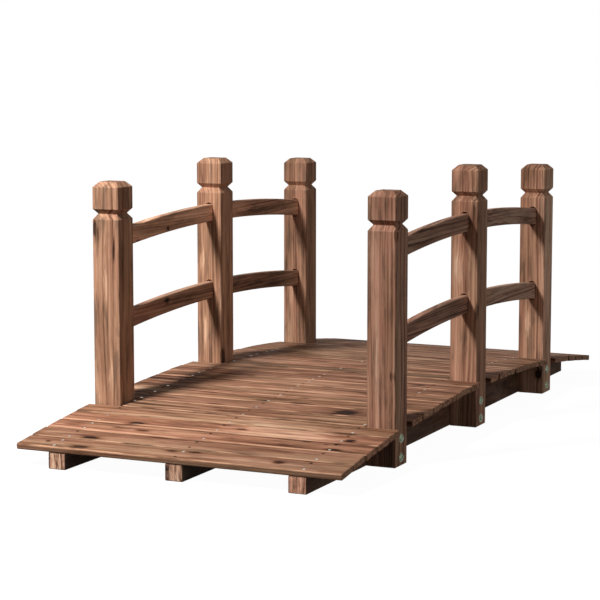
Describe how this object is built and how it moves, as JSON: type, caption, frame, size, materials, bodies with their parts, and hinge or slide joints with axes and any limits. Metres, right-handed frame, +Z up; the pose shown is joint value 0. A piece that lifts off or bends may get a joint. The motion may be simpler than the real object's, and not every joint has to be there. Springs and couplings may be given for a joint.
{
  "type": "arched garden footbridge",
  "caption": "Small arched wooden garden bridge: slatted deck on arched beams, with square grooved posts bolted at the sides and bowed rails between them.",
  "frame": {"origin": "on the ground under the middle of the deck, at the centre of the flat underside", "axes": "+X across the walkway, +Y along the walkway, +Z up"},
  "size_m": [0.668, 1.4994, 0.543],
  "materials": {
    "wood_posts": "heat-browned fir, planed, unvarnished",
    "wood_deck": "heat-browned fir, planed, unvarnished",
    "wood_rails": "heat-browned fir, planed, unvarnished",
    "wood_beams": "heat-browned fir, planed, unvarnished",
    "bolt_steel": "zinc plated, greenish and dulled"
  },
  "bodies": {
    "root": {"beam_left": "wood_beams", "beam_centre": "wood_beams", "beam_right": "wood_beams", "deck_plank_01": "wood_deck", "deck_plank_02": "wood_deck", "deck_plank_03": "wood_deck", "deck_plank_04": "wood_deck", "deck_plank_05": "wood_deck", "deck_plank_06": "wood_deck", "deck_plank_07": "wood_deck", "deck_plank_08": "wood_deck", "deck_plank_09": "wood_deck", "deck_plank_10": "wood_deck", "deck_plank_11": "wood_deck", "deck_plank_12": "wood_deck", "deck_plank_13": "wood_deck", "deck_plank_14": "wood_deck", "deck_plank_15": "wood_deck", "deck_plank_16": "wood_deck", "deck_plank_17": "wood_deck", "deck_plank_18": "wood_deck", "deck_plank_19": "wood_deck", "deck_plank_20": "wood_deck", "deck_plank_21": "wood_deck", "deck_plank_22": "wood_deck", "deck_plank_23": "wood_deck", "deck_plank_24": "wood_deck", "deck_plank_25": "wood_deck", "deck_plank_26": "wood_deck", "deck_plank_27": "wood_deck", "post_front_left": "wood_posts", "post_middle_left": "wood_posts", "post_back_left": "wood_posts", "handrail_left": "wood_rails", "lower_rail_left": "wood_rails", "post_bolts_left": "bolt_steel", "bolt_nuts_left": "bolt_steel", "post_front_right": "wood_posts", "post_middle_right": "wood_posts", "post_back_right": "wood_posts", "handrail_right": "wood_rails", "lower_rail_right": "wood_rails", "post_bolts_right": "bolt_steel", "bolt_nuts_right": "bolt_steel"}
  },
  "joints": []
}
